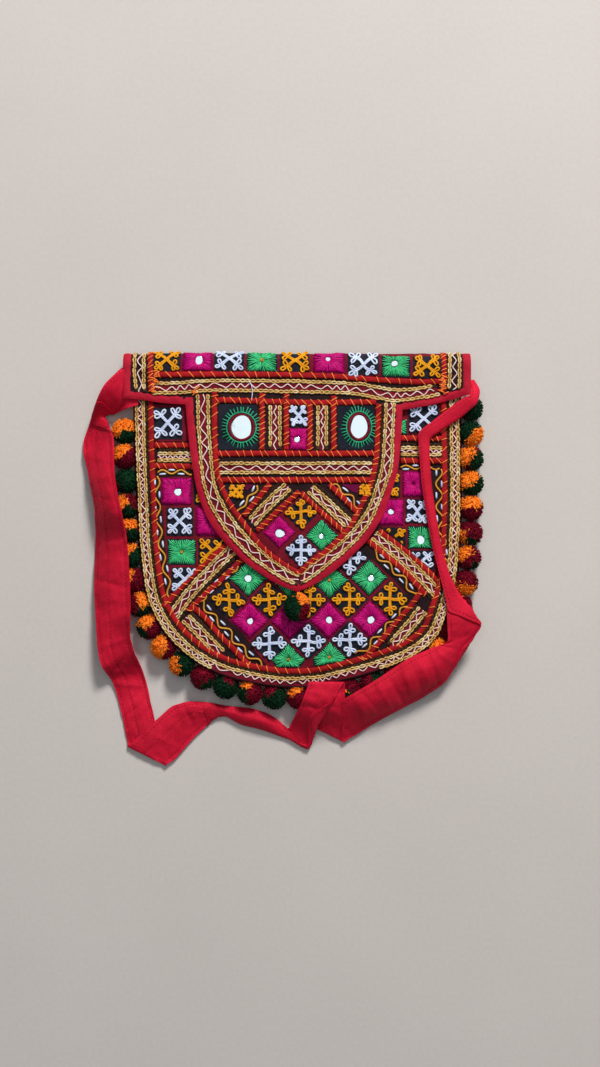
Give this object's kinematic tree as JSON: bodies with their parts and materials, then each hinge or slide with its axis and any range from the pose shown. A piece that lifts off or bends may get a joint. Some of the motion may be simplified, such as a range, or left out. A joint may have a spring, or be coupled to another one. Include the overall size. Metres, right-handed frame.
{
  "type": "embroidered shoulder bag",
  "caption": "Flat cloth shoulder bag with an embroidered front, a tongued flap, set-in mirrors, yarn pompoms along its seam and a long cloth strap.",
  "frame": {"origin": "on the flat outer face of the back panel, on the centre line, about halfway up the bag", "axes": "+X to the bag's right seen from the front, +Y to the bag's top edge, +Z out of the embroidered front, up as the bag lies on its back"},
  "size_m": [0.3504, 0.3611, 0.0346],
  "materials": {
    "lining_cloth": "plain woven cotton",
    "gusset_cloth": "plain woven maroon cotton",
    "embroidered_cloth": "dark cotton covered in close embroidery",
    "binding_cloth": "plain woven red cotton",
    "piping": "folded red cotton strip with orange couching",
    "strap_cloth": "plain woven crimson cotton, two layers",
    "pompom_yarn": "cut acrylic yarn pile",
    "mirror": "thin silvered glass"
  },
  "bodies": {
    "root": {"back_panel": "lining_cloth", "gusset": "gusset_cloth", "front_panel": "embroidered_cloth", "flap": "embroidered_cloth", "flap_binding": "binding_cloth", "front_piping": "piping", "tongue_piping": "piping", "band_piping": "piping", "strap": "strap_cloth", "flap_tassel": "pompom_yarn", "mirror_left": "mirror", "mirror_right": "mirror", "mirror_01": "mirror", "mirror_02": "mirror", "mirror_03": "mirror", "mirror_04": "mirror", "mirror_05": "mirror", "mirror_06": "mirror", "mirror_07": "mirror", "mirror_08": "mirror", "mirror_09": "mirror", "mirror_10": "mirror", "mirror_11": "mirror", "mirror_12": "mirror", "mirror_13": "mirror", "mirror_14": "mirror", "pompom_01": "pompom_yarn", "pompom_02": "pompom_yarn", "pompom_03": "pompom_yarn", "pompom_04": "pompom_yarn", "pompom_05": "pompom_yarn", "pompom_06": "pompom_yarn", "pompom_07": "pompom_yarn", "pompom_08": "pompom_yarn", "pompom_09": "pompom_yarn", "pompom_10": "pompom_yarn", "pompom_11": "pompom_yarn", "pompom_12": "pompom_yarn", "pompom_13": "pompom_yarn", "pompom_14": "pompom_yarn", "pompom_15": "pompom_yarn", "pompom_16": "pompom_yarn", "pompom_17": "pompom_yarn", "pompom_18": "pompom_yarn", "pompom_19": "pompom_yarn", "pompom_20": "pompom_yarn", "pompom_21": "pompom_yarn", "pompom_22": "pompom_yarn", "pompom_23": "pompom_yarn", "pompom_24": "pompom_yarn", "pompom_25": "pompom_yarn", "pompom_26": "pompom_yarn", "pompom_27": "pompom_yarn", "pompom_28": "pompom_yarn", "pompom_29": "pompom_yarn", "pompom_30": "pompom_yarn", "pompom_31": "pompom_yarn", "pompom_32": "pompom_yarn"}
  },
  "joints": []
}
